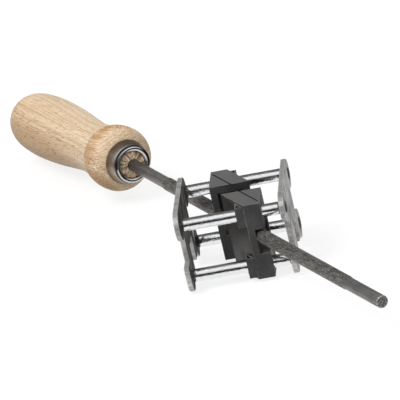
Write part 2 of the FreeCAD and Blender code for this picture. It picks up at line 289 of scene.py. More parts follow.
def makeWearGroup():
    # rubbed edges: the marked edge faces, broken up by noise
    tree, source, result = newGroup(
        "rubbedEdges", [("Place", "vector", None), ("Amount", "value", 0.6), ("Patch", "value", 400.0)],
        [("Mask", "value")])
    edge = addNode(tree, "ShaderNodeAttribute", attribute_type="GEOMETRY", attribute_name="wornEdge")
    patches = noise(tree, source.outputs["Place"], source.outputs["Patch"], 4.0)
    broken = remap(tree, patches, 0.35, 0.62)
    whole = times(tree, edge.outputs["Fac"], broken)
    mask = times(tree, whole, source.outputs["Amount"])
    feed(tree, result.inputs["Mask"], mask)
    return tree


def makeGrimeGroup():
    # soft cloudy soiling with fine specks, between 0 and 1
    tree, source, result = newGroup(
        "grime", [("Place", "vector", None), ("Cloud", "value", 120.0), ("Speck", "value", 2500.0)],
        [("Clouds", "value"), ("Specks", "value")])
    kinds = (("Clouds", "Cloud", 0.35, 0.7, 5.0), ("Specks", "Speck", 0.6, 0.72, 2.0))
    for name, key, low, high, detail in kinds:
        cloudy = noise(tree, source.outputs["Place"], source.outputs[key], detail)
        feed(tree, result.inputs[name], remap(tree, cloudy, low, high))
    return tree


# Sizes that the pieces share

fileAngle = 30.0
fileOrigin = Vector((-0.15, 0, 1.1)) * mm
fileTurn = Matrix.Rotation(math.radians(fileAngle - 90), 4, "Z")
fileAxis = Matrix.Translation(fileOrigin) @ fileTurn @ Matrix.Scale(mm, 4)
# the handle sits slightly askew on the tang, turned about the ferrule's front
handleFront = -82.6
leanAngle, leanSide = math.radians(2.17), math.radians(42.0)
leanAxis = (0, -math.sin(leanSide), math.cos(leanSide))
leanTurn = Matrix.Rotation(leanAngle, 4, leanAxis)
pivot = Matrix.Translation((handleFront, 0, 0))
handleAxis = fileAxis @ pivot @ leanTurn @ pivot.inverted()
rollerPlaces = {"back_top": (15.0, 9.55), "front_top": (-15.0, 9.55),
                "front_bottom": (-15.0, -9.55), "back_bottom": (15.0, -9.55)}
fileAxisGroup = makeFileAxisGroup()
wearGroup = makeWearGroup()
grimeGroup = makeGrimeGroup()


def rollerAxis(name):
    y, z = rollerPlaces[name]
    return Matrix.Translation(Vector((0, y, z)) * mm) @ Matrix.Scale(mm, 4)


# Side plates: stamped steel, satin plated

plate = {"outerRound": 0.3, "innerRound": 0.14, "tone": (0.66, 0.65, 0.635, 1),
         "face": (0.74, 0.73, 0.71, 1), "dark": (0.17, 0.162, 0.152, 1), "worn": (0.85, 0.84, 0.82, 1),
         "streak": (0.035, 0.033, 0.031, 1), "inside": (0.12, 0.113, 0.105, 1), "roughness": (0.36, 0.58),
         "innerRoughness": (0.55, 0.72), "grainDepth": 0.04, "scoreDepth": 0.12, "scratchDepth": 0.05,
         # how often each pattern repeats per metre, along X, Y and Z
         "edgeScale": (160, 900, 900), "faceScale": (400, 700, 90), "streakScale": (300, 330, 40),
         "scratchScale": (300, 700, 40)}


def makePlateMetal():
    material, tree, shader, place = newMaterial("platedSteel")
    grime = useGroup(tree, grimeGroup, Place=place, Cloud=160.0, Speck=2600.0)
    worn = useGroup(tree, wearGroup, Place=place, Amount=0.8, Patch=700.0)["Mask"]
    # punched edges are drawn across the thickness, the broad faces along the plate's height
    facing = split(tree, addNode(tree, "ShaderNodeNewGeometry").outputs["Normal"])
    broad = remap(tree, calc(tree, "ABSOLUTE", facing["X"]), 0.75, 0.95)
    edgeGrain = noise(tree, stretch(tree, place, plate["edgeScale"]), 1.0, 4.0, 0.65)
    faceGrain = noise(tree, stretch(tree, place, plate["faceScale"]), 1.0, 4.0, 0.65, 0.3)
    streaks = noise(tree, stretch(tree, place, plate["streakScale"]), 1.0, 3.0, 0.55, 0.5)
    color = blend(tree, remap(tree, edgeGrain, 0.38, 0.66, 0.0, 0.45), plate["tone"], plate["dark"])
    face = blend(tree, remap(tree, faceGrain, 0.38, 0.68, 0.0, 0.35), plate["face"], plate["dark"])
    scored = remap(tree, streaks, 0.51, 0.56)
    face = blend(tree, times(tree, scored, 0.3), face, plate["streak"])
    color = blend(tree, broad, color, face)
    color = blend(tree, times(tree, grime["Clouds"], 0.4), color, plate["dark"])
    color = blend(tree, worn, color, plate["worn"])
    rubbed = remap(tree, plus(tree, faceGrain, grime["Clouds"]), 0.3, 1.5, *plate["roughness"])
    height = plus(tree, plus(tree, edgeGrain, faceGrain), noise(tree, place, 900.0, 4.0))
    relief = bump(tree, times(tree, calc(tree, "SUBTRACT", 1.0, scored), broad), plate["scoreDepth"], 0.8)
    relief = bump(tree, height, plate["grainDepth"], 0.5, relief)
    dress(tree, shader, color, rubbed, relief, metallic=0.65)
    return material


def makeShadedInnerSteel():
    # the plates' inner faces are dull, painted dark as shade, with a few bright scratches
    material, tree, shader, place = newMaterial("shadedInnerSteel")
    grime = useGroup(tree, grimeGroup, Place=place, Cloud=180.0, Speck=2600.0)
    scratches = noise(tree, stretch(tree, place, plate["scratchScale"]), 1.0, 2.0, 0.5)
    color = blend(tree, grime["Clouds"], plate["inside"], plate["streak"])
    color = blend(tree, remap(tree, scratches, 0.58, 0.72, 0.0, 0.3), color, plate["worn"])
    dull = remap(tree, grime["Clouds"], 0.0, 1.0, *plate["innerRoughness"])
    dress(tree, shader, color, dull, bump(tree, scratches, plate["scratchDepth"], 0.5), metallic=0.2)
    shader.inputs["Specular IOR Level"].default_value = 0.2
    return material


def edgeLoops(nodeName, faceX):
    # the outline and the holes of a plate, walked round on one of its faces, in metres
    bm = solidCopy(nodeName)
    following = {}
    flat = 0.99  # a face that looks along X more squarely than this is broad
    for face in bm.faces:
        if abs(face.normal.x) < flat or abs(face.calc_center_median().x - faceX) > 0.05 * mm:
            continue
        for loop in face.loops:
            if abs(loop.link_loop_radial_next.face.normal.x) < flat:
                following[loop.vert.index] = loop.link_loop_next.vert.index
    places = [Vector((v.co.y, v.co.z)) for v in bm.verts]
    bm.free()
    loops = []
    while following:
        start, index = following.popitem()
        walked = [start]
        while index != start:
            walked.append(index)
            index = following.pop(index)
        loops.append([places[i] for i in walked])
    return sorted(loops, key=lambda loop: min(p.x for p in loop) - max(p.x for p in loop))


def insetLoop(loop, amount):
    # moves an outline inwards, whichever way round it was walked
    around = sum(a.cross(b) for a, b in zip(loop, loop[1:] + loop[:1]))
    side = 1 if around > 0 else -1
    moved = []
    for before, here, after in zip(loop[-1:] + loop[:-1], loop, loop[1:] + loop[:1]):
        first, second = (here - before).normalized(), (after - here).normalized()
        firstIn, secondIn = Vector((-first.y, first.x)) * side, Vector((-second.y, second.x)) * side
        moved.append(here + (firstIn + secondIn) / max(1 + firstIn.dot(secondIn), 0.4) * amount)
    return moved


def makePlate(side, metals):
    xs = [c[0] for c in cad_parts[side + "_plate"].bound_box]
    outerX, innerX = (min(xs), max(xs)) if side == "left" else (max(xs), min(xs))
    inward = 1 if innerX > outerX else -1
    outline, *holes = edgeLoops(side + "_plate", outerX)
    steps = [math.radians(a) for a in (0, 30, 60, 90)]
    outer, inner = plate["outerRound"], plate["innerRound"]
    sections = [(outerX + inward * outer * mm * (1 - math.cos(a)), outer * (1 - math.sin(a))) for a in steps]
    sections += [(innerX - inward * inner * mm * (1 - math.cos(a)), inner * (1 - math.sin(a)))
                 for a in reversed(steps)]
    bm = bmesh.new()
    mark = bm.faces.layers.float.new("wornEdge")
    rings = [[bm.verts.new((x, *p)) for p in insetLoop(outline, inset * mm)] for x, inset in sections]
    for number, (first, second) in enumerate(zip(rings, rings[1:])):
        for index in range(len(outline)):
            after = (index + 1) % len(outline)
            wall = bm.faces.new((first[index], first[after], second[after], second[index]))
            wall[mark] = 0.0 if number == len(steps) - 1 else 1.0
    bores = [[[bm.verts.new((x, *p)) for p in hole] for x in (outerX, innerX)] for hole in holes]
    for first, second in bores:
        for index in range(len(first)):
            after = (index + 1) % len(first)
            bm.faces.new((first[index], first[after], second[after], second[index]))
    for end, ring in ((0, rings[0]), (1, rings[-1])):
        loops = [ring] + [bore[end] for bore in bores]
        corners = [vertex for loop in loops for vertex in loop]
        for triangle in tessellate_polygon([[v.co for v in loop] for loop in loops]):
            bm.faces.new([corners[i] for i in triangle]).material_index = end
    finishPiece(side + "Plate", bm, "cage", metals, side + "_plate", smoothAngle=50)


plateMetals = [makePlateMetal(), makeShadedInnerSteel()]
for side in ("left", "right"):
    makePlate(side, plateMetals)
print("plates made")


# Rollers: chromed tube, turning on riveted pins

roller = {"radius": 2.25, "halfLength": 17.3, "bore": 1.38, "lip": 0.25, "turnSteps": 72, "lengthSteps": 12,
          "chrome": (0.86, 0.87, 0.88, 1), "smoked": (0.50, 0.50, 0.51, 1), "roughness": (0.04, 0.13),
          "skinDepth": 0.10}


def makeChrome():
    material, tree, shader, place = newMaterial("brightChrome")
    streaks = noise(tree, stretch(tree, place, (140, 2600, 2600)), 1.0, 4.0, 0.65)
    blotches = noise(tree, stretch(tree, place, (450, 900, 900)), 1.0, 4.0, 0.6, 0.5)
    stain = remap(tree, blotches, 0.55, 0.72)
    color = blend(tree, times(tree, stain, 0.35), roller["chrome"], roller["smoked"])
    dulled = plus(tree, streaks, times(tree, stain, 0.3))
    rough = remap(tree, dulled, 0.35, 0.95, *roller["roughness"])
    pits = remap(tree, noise(tree, stretch(tree, place, (700, 1200, 1200)), 1.0, 2.0, 0.6), 0.58, 0.68)
    skin = calc(tree, "SUBTRACT", blotches, times(tree, pits, 0.35))
    dress(tree, shader, color, rough, bump(tree, skin, roller["skinDepth"], 0.8), metallic=1.0)
    return material


chrome = makeChrome()
for name in rollerPlaces:
    end, radius, lip, bore = (roller[k] for k in ("halfLength", "radius", "lip", "bore"))
    half = [(end - 0.02, bore), (end, bore + 0.1), (end, radius - lip), (end - 0.08, radius - 0.08),
            (end - lip, radius)]
    steps, count = roller["turnSteps"], roller["lengthSteps"]
    outside = half + [(end * (1 - 2 * k / count), radius) for k in range(1, count)]
    outside += [(-a, r) for a, r in reversed(half)]
    bm = bmesh.new()
    rings = lathe(bm, outside, rollerAxis(name), steps)
    for index in range(steps):  # the bore
        following = (index + 1) % steps
        bm.faces.new([rings[0][following], rings[0][index], rings[-1][index], rings[-1][following]])
    label = name.replace("_", "") + "Roller"
    finishPiece(label, bm, name + "_roller", [chrome], name + "_roller")
print("rollers made")


# Axles: plain pins, headed on the plates' outside, with a dark ring of painted shade round each head

axle = {"radius": 1.3, "plateOut": 19.25, "headRadius": 2.1, "headHigh": 0.3, "dish": 0.85,
        "turnSteps": 48, "bright": (0.52, 0.51, 0.50, 1), "black": (0.035, 0.034, 0.034, 1),
        "soil": (0.16, 0.15, 0.14, 1), "speck": (0.6, 0.59, 0.57, 1), "roughness": (0.28, 0.5),
        "turnDepth": 0.04}


def makeAxleMetal(name, dark):
    material, tree, shader, place = newMaterial(name)
    # the dark version is near black: painted shade for the rims of the heads
    base = axle["black"] if dark else axle["bright"]
    grime = useGroup(tree, grimeGroup, Place=place, Cloud=700.0, Speck=3500.0)
    turned = noise(tree, stretch(tree, place, (3500, 400, 400)), 1.0, 3.0)
    color = blend(tree, times(tree, grime["Clouds"], 0.5), base, axle["soil"])
    color = blend(tree, times(tree, grime["Specks"], 0.5), color, axle["speck"])
    rough = remap(tree, turned, 0.3, 0.7, *axle["roughness"])
    dress(tree, shader, color, rough, bump(tree, turned, axle["turnDepth"], 0.5), metallic=1.0)
    return material


axleBright = makeAxleMetal("rivetSteel", False)
axleRimShade = makeAxleMetal("headRimShade", True)
for name in rollerPlaces:
    out, high, head, dish = (axle[k] for k in ("plateOut", "headHigh", "headRadius", "dish"))
    ring = [(out, axle["radius"]), (out, head - 0.05), (out + 0.05, head), (out + high - 0.12, head),
            (out + high - 0.04, head - 0.16), (out + high, head - 0.34), (out + high - 0.03, head - 0.6)]
    centre = [(out + high - 0.2, dish + 0.2), (out + high - 0.24, dish), (out + high - 0.16, dish * 0.5),
              (out + high - 0.13, 0)]
    bm = bmesh.new()
    axis, steps = rollerAxis(name), axle["turnSteps"]
    lathe(bm, [(-out, axle["radius"]), (out, axle["radius"])], axis, steps)
    for sign in (1, -1):
        # the rim of each head takes the near-black material: painted shade
        lathe(bm, [(a * sign, r) for a, r in ring + centre[:1]], axis, steps, materialIndex=1)
        lathe(bm, [(a * sign, r) for a, r in centre], axis, steps)
    bmesh.ops.remove_doubles(bm, verts=bm.verts, dist=0.001 * mm)
    label = name.replace("_", "") + "Axle"
    finishPiece(label, bm, "cage", [axleBright, axleRimShade], name + "_axle", smoothAngle=50)
print("axles made")


# Guide blocks: black moulded plastic

block = {"edgeRound": 0.16, "edgeAngle": 50, "edgeSteps": 2, "lineDepth": (0.1, 0.6),
         "tone": (0.036, 0.035, 0.0355, 1), "faded": (0.115, 0.113, 0.111, 1),
         "worn": (0.34, 0.335, 0.33, 1), "shade": (0.008, 0.008, 0.008, 1), "sideShade": (0.018, 0.014, 0.011, 1),
         "roughness": (0.42, 0.60), "skinDepth": 0.04}


def makeBlackPlastic():
    material, tree, shader, place = newMaterial("blackMoulding")
    grime = useGroup(tree, grimeGroup, Place=place, Cloud=110.0, Speck=3800.0)
    worn = useGroup(tree, wearGroup, Place=place, Amount=1.0, Patch=320.0)["Mask"]
    facing = split(tree, addNode(tree, "ShaderNodeNewGeometry").outputs["Normal"])
    # upward faces are paler: dust, and a painted sheen from above
    dustAndSheen = times(tree, remap(tree, facing["Z"], 0.3, 1.0), 0.75)
    color = blend(tree, times(tree, grime["Clouds"], 0.35), block["tone"], block["faded"])
    color = blend(tree, dustAndSheen, color, block["faded"])
    # the slanted faces beside the file are painted dark as shade, in a brownish tone
    beside = plus(tree, times(tree, facing["X"], math.cos(math.radians(fileAngle))),
                  times(tree, facing["Y"], math.sin(math.radians(fileAngle))))
    sideShadeMask = remap(tree, calc(tree, "ABSOLUTE", beside), 0.9, 0.98)
    sideShadeMask = times(tree, sideShadeMask, remap(tree, grime["Clouds"], 0.0, 1.0, 0.95, 0.5))
    color = blend(tree, sideShadeMask, color, block["sideShade"])
    color = blend(tree, times(tree, grime["Specks"], 0.18), color, block["worn"])
    # rubbed edges are painted pale, partly as painted highlights where the edges catch the light
    color = blend(tree, worn, color, block["worn"])
    cutLine = addNode(tree, "ShaderNodeAttribute", attribute_type="GEOMETRY", attribute_name="cutLine")
    color = blend(tree, cutLine.outputs["Fac"], color, block["shade"])
    rough = remap(tree, grime["Clouds"], 0.0, 1.0, *block["roughness"])
    spark = noise(tree, place, 3600.0, 2.0)
    waves = noise(tree, place, 260.0, 2.0)
    height = plus(tree, spark, times(tree, waves, 3.0))
    dress(tree, shader, color, rough, bump(tree, height, block["skinDepth"], 0.5))
    shader.inputs["Specular IOR Level"].default_value = 0.3
    return material


blackPlastic = makeBlackPlastic()
for end in ("front", "back"):
    node = end + "_guide_block"
    bm = softenEdges(solidCopy(node), block["edgeRound"] * mm, block["edgeAngle"], block["edgeSteps"],
                     block["lineDepth"])
    finishPiece(end + "Block", bm, end + "_block", [blackPlastic], node, smoothAngle=50)
print("blocks made")


# Round file: spiral cut between a plain shank and a smooth tip

fileSizes = {"cutFront": 80.7, "cutBack": -54.3, "cutRadius": 2.4, "tipRadius": 2.2, "tipEnd": 104.3,
             "shankRadius": 2.15, "shankBack": -85.3, "tangEnd": -123.3, "tangWide": 3.0, "tangTip": 1.6,
             "turnSteps": 72, "cutSteps": 60,
             # how far the strokes wind, in radians per metre, and how often they repeat per metre
             "twist": 32.0, "crossTwist": -96.0, "rows": (420, 4200, 4200), "cross": (800, 3600, 3600),
             "glints": (1300, 5600, 5600), "drawn": (60, 2200, 2200),
             "steel": (0.27, 0.26, 0.245, 1), "valley": (0.06, 0.056, 0.051, 1),
             "tooth": (0.56, 0.545, 0.515, 1), "shank": (0.27, 0.262, 0.255, 1),
             "soil": (0.085, 0.072, 0.060, 1), "endDark": (0.07, 0.065, 0.06, 1),
             "endPale": (0.40, 0.385, 0.36, 1), "burr": (0.66, 0.65, 0.63, 1),
             "roughness": (0.32, 0.46), "endRoughness": (0.4, 0.6), "toothDepth": 0.11, "endDepth": 0.08}


def makeFileSteel():
    material, tree, shader, place = newMaterial("fileSteel")
    along = useGroup(tree, fileAxisGroup, Place=place)
    grime = useGroup(tree, grimeGroup, Place=place, Cloud=220.0, Speck=3200.0)

    def strokes(twist, scales, detail):
        # short strokes that wind round the file
        wound = addNode(tree, "ShaderNodeVectorRotate", rotation_type="X_AXIS")
        feed(tree, wound.inputs["Vector"], along["Local"])
        feed(tree, wound.inputs["Angle"], times(tree, along["Along"], twist))
        return noise(tree, stretch(tree, wound.outputs["Vector"], scales), 1.0, detail, 0.6)

    rows = strokes(fileSizes["twist"], fileSizes["rows"], 2.0)
    cross = strokes(fileSizes["crossTwist"], fileSizes["cross"], 2.0)
    teeth = remap(tree, plus(tree, rows, times(tree, cross, 0.6)), 0.66, 0.94)
    back, front = fileSizes["cutBack"], fileSizes["cutFront"]
    inCut = times(tree, remap(tree, along["Along"], (back - 0.3) * mm, (back + 0.5) * mm),
                  remap(tree, along["Along"], (front - 0.8) * mm, (front + 0.6) * mm, 1.0, 0.0))
    # pale glints on the tooth crests are painted highlights
    glint = remap(tree, strokes(fileSizes["twist"], fileSizes["glints"], 1.0), 0.54, 0.66)
    cutColor = blend(tree, teeth, fileSizes["valley"], fileSizes["steel"])
    bright = times(tree, glint, remap(tree, teeth, 0.0, 1.0, 0.25, 0.85))
    cutColor = blend(tree, bright, cutColor, fileSizes["tooth"])
    drawn = noise(tree, stretch(tree, along["Local"], fileSizes["drawn"]), 1.0, 4.0, 0.6)
    plain = blend(tree, remap(tree, drawn, 0.3, 0.7, 0.0, 0.5), fileSizes["shank"], fileSizes["valley"])
    plain = blend(tree, times(tree, grime["Specks"], 0.35), plain, fileSizes["tooth"])
    # the shank darkens towards the handle
    towardsHandle = remap(tree, along["Along"], fileSizes["shankBack"] * mm, (back - 6) * mm, 0.95, 0.0)
    plain = blend(tree, towardsHandle, plain, fileSizes["valley"])
    color = blend(tree, inCut, plain, cutColor)
    color = blend(tree, times(tree, grime["Clouds"], 0.35), color, fileSizes["soil"])
    rough = plus(tree, times(tree, inCut, 0.12), remap(tree, drawn, 0.3, 0.7, *fileSizes["roughness"]))
    height = plus(tree, times(tree, teeth, inCut), times(tree, drawn, 0.25))
    dress(tree, shader, color, rough, bump(tree, height, fileSizes["toothDepth"], 0.9), metallic=0.6)
    return material


def makeTipFace():
    # the sheared end of the file, brighter and coarse
    material, tree, shader, place = newMaterial("shearedEnd")
    spot = useGroup(tree, fileAxisGroup, Place=place)
    grain = noise(tree, place, 1500.0, 5.0, 0.7)
    rim = remap(tree, spot["Out"], 1.75 * mm, 2.0 * mm)
    color = blend(tree, remap(tree, grain, 0.38, 0.62), fileSizes["endDark"], fileSizes["endPale"])
    burr = times(tree, rim, remap(tree, grain, 0.42, 0.56))
    color = blend(tree, burr, color, fileSizes["burr"])
    rough = remap(tree, grain, 0.3, 0.7, *fileSizes["endRoughness"])
    dress(tree, shader, color, rough, bump(tree, grain, fileSizes["endDepth"], 0.7), metallic=0.5)
    return material


def makeFile():
    size = fileSizes
    back, front, cutRadius = size["cutBack"], size["cutFront"], size["cutRadius"]
    shankBack, shankRadius = size["shankBack"], size["shankRadius"]
    tipEnd, tipRadius = size["tipEnd"], size["tipRadius"]
    steps, count = size["turnSteps"], size["cutSteps"]
    bm = bmesh.new()
    body = [(shankBack, 0), (shankBack, shankRadius - 0.35), (shankBack + 0.5, shankRadius),
            (back - 8, shankRadius), (back - 0.7, shankRadius + 0.02), (back, cutRadius - 0.08),
            (back + 0.5, cutRadius)]
    body += [(back + (front - back) * k / count, cutRadius) for k in range(1, count)]
    body += [(front - 0.4, cutRadius), (front + 0.6, tipRadius), (tipEnd - 8, tipRadius)]
    body += [(tipEnd - 0.45, tipRadius)]
    lathe(bm, body, fileAxis, steps)
    end = [(tipEnd - 0.45, tipRadius), (tipEnd - 0.12, tipRadius - 0.14), (tipEnd, tipRadius - 0.4),
           (tipEnd - 0.06, 1.2), (tipEnd - 0.1, 0.5), (tipEnd - 0.05, 0)]
    lathe(bm, end, fileAxis, steps, materialIndex=1)
    bmesh.ops.remove_doubles(bm, verts=bm.verts, dist=0.001 * mm)
    # the forged tang, a slim square spike inside the wood
    corners = []
    for along, wide in ((shankBack + 1.2, size["tangWide"]), (size["tangEnd"], size["tangTip"])):
        h = wide / 2
        square = ((-h, -h), (h, -h), (h, h), (-h, h))
        corners.append([bm.verts.new(fileAxis @ Vector((along, y, z))) for y, z in square])
    for index in range(4):
        following = (index + 1) % 4
        bm.faces.new([corners[0][index], corners[0][following], corners[1][following], corners[1][index]])
    bm.faces.new(corners[0])
    bm.faces.new(corners[1])
    metals = [makeFileSteel(), makeTipFace()]
    finishPiece("roundFile", bm, "file_and_handle", metals, "file", smoothAngle=40)


makeFile()
print("file made")


# Handle: turned beech with a bead behind the ferrule

handle = {"plugRadius": 4.83, "woodFace": 0.6, "holeRadius": 2.21, "holeDeep": 41.0, "bulge": 0.5,
          # every distance is behind the ferrule's front; the profiles pair it with a radius
          "spigot": [(0.9, 4.83), (2.4, 4.83), (2.4, 6.28), (6.0, 7.35)],
          "profile": [(6.0, 8.62), (6.5, 9.4), (7.0, 10.15), (7.6, 10.82), (8.4, 11.36), (10.0, 11.86),
                      (12.6, 12.0), (15.0, 11.83), (17.0, 11.5), (18.1, 11.2)],
          "groove": (18.35, 10.85),
          "grip": [(18.6, 11.0), (20.5, 10.55), (25.0, 9.9), (32.0, 9.5), (40.0, 10.1), (52.0, 11.2),
                   (66.0, 11.8), (77.0, 11.3), (83.0, 10.1), (86.6, 8.2), (88.6, 5.9), (89.5, 3.0),
                   (89.6, 0.0)],
          "turnSteps": 96, "chipSeed": 7, "chipRings": 6, "chipShare": 0.3, "chipDepth": (-0.45, 0.05),
          # where the tones of the wood change
          "beadEdge": (18.6, 18.1), "beadFront": (13.0, 8.0), "palm": (52.0, 22.0), "butt": (89.6, 76.0),
          "grainTurn": 10.0, "ringTurn": 70.0, "lineCount": 18.0, "fleckLimit": 0.732,
          # how often each pattern repeats per metre, along the grain and across it both ways
          "bands": (7, 40, 90), "lines": (9, 300, 1300), "rings": (22, 420, 3900),
          "dashes": (330, 2300, 3800), "pores": (280, 2600, 4200), "groups": (14, 60, 110),
          "pale": (0.735, 0.605, 0.44, 1), "tan": (0.57, 0.40, 0.235, 1), "fleck": (0.33, 0.185, 0.085, 1),
          "under": (0.467, 0.315, 0.183, 1), "bead": (0.43, 0.24, 0.095, 1),
          "beadPale": (0.92, 0.78, 0.60, 1),
          "endPale": (0.88, 0.71, 0.52, 1), "endBrown": (0.52, 0.35, 0.22, 1),
          "crack": (0.10, 0.055, 0.03, 1), "roughness": (0.46, 0.62), "endRoughness": (0.7, 0.9),
          "grainDepth": 0.06, "endDepth": 0.3}


def makeBeech():
    material, tree, shader, place = newMaterial("turnedBeech")
    spot = useGroup(tree, fileAxisGroup, Place=place)
    grain = addNode(tree, "ShaderNodeVectorRotate", rotation_type="AXIS_ANGLE")
    feed(tree, grain.inputs["Vector"], spot["Local"])
    grain.inputs["Center"].default_value = (handleFront * mm, 0, 0)
    grain.inputs["Axis"].default_value = leanAxis
    grain.inputs["Angle"].default_value = -math.radians(handle["grainTurn"])
    local = grain.outputs["Vector"]
    # the flecks follow the rings of the board, so they are broadest on the left side
    sawn = addNode(tree, "ShaderNodeVectorRotate", rotation_type="X_AXIS")
    feed(tree, sawn.inputs["Vector"], local)
    sawn.inputs["Angle"].default_value = -math.radians(handle["ringTurn"])
    board = sawn.outputs["Vector"]
    bands = noise(tree, stretch(tree, local, handle["bands"]), 1.0, 3.0, 0.5, 0.3)
    lines = noise(tree, stretch(tree, local, handle["lines"]), 1.0, 3.0, 0.7, 0.15)
    rings = noise(tree, stretch(tree, local, handle["rings"]), 1.0, 2.0, 0.6)
    dashes = noise(tree, stretch(tree, board, handle["dashes"]), 1.0, 1.0, 0.5)
    pores = noise(tree, stretch(tree, board, handle["pores"]), 1.0, 1.0, 0.5)
    groups = noise(tree, stretch(tree, board, handle["groups"]), 1.0, 2.0)

    def fade(span, first=0.0, last=1.0):
        # a value that changes between two places along the handle
        start, stop = ((handleFront - distance) * mm for distance in span)
        return remap(tree, spot["Along"], start, stop, first, last)

    # fine lines run along the handle all the way round it
    turn, count = times(tree, spot["Around"], 2 * math.pi), handle["lineCount"]
    circle = combine(tree, times(tree, spot["Along"], 12.0),
                     times(tree, calc(tree, "COSINE", turn), count),
                     times(tree, calc(tree, "SINE", turn), count))
    growth = remap(tree, noise(tree, circle, 1.0, 2.0, 0.5, 0.1), 0.45, 0.60, 0.0, 0.36)
    onBead = fade(handle["beadEdge"])
    many = plus(tree, times(tree, groups, 0.30), times(tree, onBead, 0.03))
    limit = calc(tree, "SUBTRACT", handle["fleckLimit"], many)
    flecks = remap(tree, calc(tree, "SUBTRACT", dashes, limit), 0.0, 0.06)
    small = remap(tree, calc(tree, "SUBTRACT", pores, limit), -0.02, 0.06)
    color = blend(tree, remap(tree, bands, 0.35, 0.68, 0.0, 0.45), handle["pale"], handle["tan"])
    color = blend(tree, remap(tree, lines, 0.42, 0.62, 0.0, 0.35), color, handle["tan"])
    color = blend(tree, growth, color, handle["fleck"])
    # the lower left is painted darker as shade, most towards the palm, and the end grain of the butt is
    # darker too
    sides = split(tree, spot["Local"])
    level = plus(tree, times(tree, sides["Y"], 0.8), times(tree, sides["Z"], 0.6))
    low = times(tree, remap(tree, level, -10.5 * mm, -4.5 * mm, 1.0, 0.0), fade(handle["palm"], 1.0, 0.2))
    color = blend(tree, calc(tree, "MAXIMUM", low, fade(handle["butt"], 0.7, 0.0)), color, handle["under"])
    # the bead is cut across the grain and ringed behind; it is paler on its front, and its bottom is painted
    # brown as shade
    frontShare = fade(handle["beadFront"], 0.0, 0.7)
    # painted shade at the bottom of the bead
    bottom = remap(tree, level, -11.5 * mm, -8.5 * mm, 0.8, 0.0)
    paleFront = times(tree, onBead, calc(tree, "SUBTRACT", frontShare, bottom))
    color = blend(tree, paleFront, color, handle["beadPale"])
    ringed = remap(tree, rings, 0.43, 0.56, 0.2, 1.0)
    ringed = times(tree, ringed, remap(tree, frontShare, 0.0, 0.7, 1.0, 0.65))
    ringed = times(tree, onBead, calc(tree, "MAXIMUM", ringed, bottom))
    color = blend(tree, ringed, color, handle["bead"])
    color = blend(tree, times(tree, small, 0.28), color, handle["fleck"])
    fleckShare = times(tree, flecks, remap(tree, level, -9 * mm, 0.0, 1.0, 0.35))
    color = blend(tree, fleckShare, color, handle["fleck"])
    rough = remap(tree, lines, 0.3, 0.7, *handle["roughness"])
    height = calc(tree, "SUBTRACT", lines, times(tree, flecks, 0.3))
    dress(tree, shader, color, rough, bump(tree, height, handle["grainDepth"], 0.5))
    return material


def makeEndGrain():
    # the rough end of the wood inside the ferrule
    material, tree, shader, place = newMaterial("endGrain")
    spot = useGroup(tree, fileAxisGroup, Place=place)
    turn = times(tree, spot["Around"], 2 * math.pi)
    rays = combine(tree, calc(tree, "SINE", turn), calc(tree, "COSINE", turn),
                   times(tree, spot["Out"], 45.0))
    cracks = remap(tree, noise(tree, rays, 4.0, 4.0, 0.6, 0.6), 0.50, 0.58)
    fibres = noise(tree, place, 1500.0, 4.0, 0.6)
    color = blend(tree, remap(tree, fibres, 0.35, 0.65), handle["endPale"], handle["endBrown"])
    color = blend(tree, times(tree, cracks, 0.8), color, handle["crack"])
    rough = remap(tree, fibres, 0.3, 0.7, *handle["endRoughness"])
    height = calc(tree, "SUBTRACT", fibres, cracks)
    dress(tree, shader, color, rough, bump(tree, height, handle["endDepth"], 0.9))
    return material


def makeHandle():
    bm = bmesh.new()
    steps, chipRings = handle["turnSteps"], handle["chipRings"]
    bead = smoothProfile(handle["profile"], 4)
    grip = smoothProfile(handle["grip"], 6)
    outside = handle["spigot"] + bead + [handle["groove"]] + grip[:-1] + [(handle["grip"][-1][0], 0)]
    lathe(bm, [(handleFront - a, r) for a, r in outside], handleAxis, steps)
    # chipped end round the hole, then the hole for the tang
    rng = random.Random(handle["chipSeed"])
    wood, edge, bulge = handle["woodFace"], handle["plugRadius"], handle["bulge"]
    face = [(wood + 0.3, edge), (wood + 0.05, edge - 0.2)]
    face += [(wood - bulge * k / chipRings, edge - 0.2 - 0.35 * k) for k in range(1, chipRings + 1)]
    face += [(wood - bulge + 0.15, handle["holeRadius"])]
    rings = lathe(bm, [(handleFront - a, r) for a, r in face], handleAxis, steps, materialIndex=1)
    push = (fileAxis.to_3x3() @ Vector((1, 0, 0))).normalized()
    for ring in rings[2:-1]:
        chip = 0.0
        for vertex in ring:
            if rng.random() < handle["chipShare"]:
                chip = rng.uniform(*handle["chipDepth"])
            vertex.co += push * chip * mm
    mouth, deep = handleFront - wood + bulge - 0.15, handleFront - handle["holeDeep"]
    wide = handle["holeRadius"]
    lathe(bm, [(mouth, wide), (deep, wide), (deep, 0)], fileAxis, steps, materialIndex=1)
    bmesh.ops.remove_doubles(bm, verts=bm.verts, dist=0.001 * mm)
    woods = [makeBeech(), makeEndGrain()]
    finishPiece("beechHandle", bm, "file_and_handle", woods, "handle", smoothAngle=40)


makeHandle()
print("handle made")


# Ferrule: satin steel cup with a bright rolled rim

ferrule = {"wall": 0.8, "turnSteps": 96,
           # the rim's rolled bead: its middle and its own radius, where its section starts, how far it goes
           "rimCentre": 6.0, "bead": 1.1, "rimStart": -48, "rimSweep": 292, "rimSteps": 28,
           # the cone's outside: distance behind the front, radius
           "cone": [(5.95, 8.2), (5.8, 8.2), (5.0, 7.94), (4.0, 7.64), (3.0, 7.33), (2.45, 7.14), (2.2, 7.0),
                    (2.05, 6.8)],
           "satin": (0.46, 0.42, 0.38, 1), "stain": (0.25, 0.175, 0.11, 1), "bright": (0.70, 0.69, 0.68, 1),
           "creaseShadeAndReflection": (0.05, 0.045, 0.042, 1), "roughness": (0.34, 0.5), "rimRoughness": (0.10, 0.24),
           "spinDepth": 0.03, "rimDepth": 0.05}


